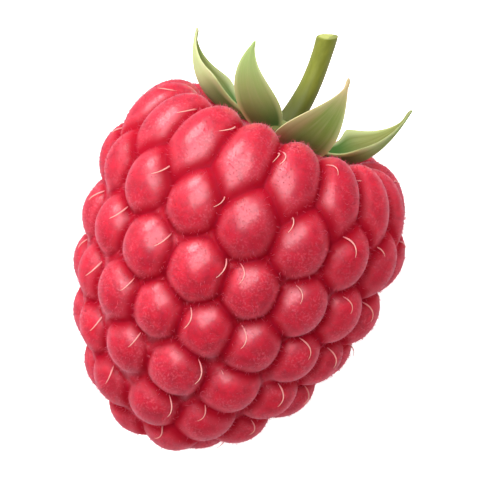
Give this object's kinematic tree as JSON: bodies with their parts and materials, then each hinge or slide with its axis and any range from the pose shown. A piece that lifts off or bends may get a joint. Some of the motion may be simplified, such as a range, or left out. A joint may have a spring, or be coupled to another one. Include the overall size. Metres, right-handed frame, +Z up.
{
  "type": "raspberry",
  "caption": "Ripe raspberry lying on its side: a blunt cone of plump fused drupelets, a green calyx of curled pointed sepals and a short cut stem.",
  "frame": {"origin": "on the surface it lies on, under the middle of the whole object's box", "axes": "+Z up; +Y along the fruit's axis from its tip towards the calyx and the cut end of the stem; +X to the right of that"},
  "size_m": [0.0222, 0.0304, 0.022],
  "materials": {
    "drupelet_skin": "raspberry red, softly downy skin over wet flesh",
    "sepal_green": "matt green leaf, paler at the margins",
    "stem_green": "matt olive green stalk"
  },
  "bodies": {
    "root": {"fruit": "drupelet_skin", "calyx": "sepal_green", "stem": "stem_green"}
  },
  "joints": []
}
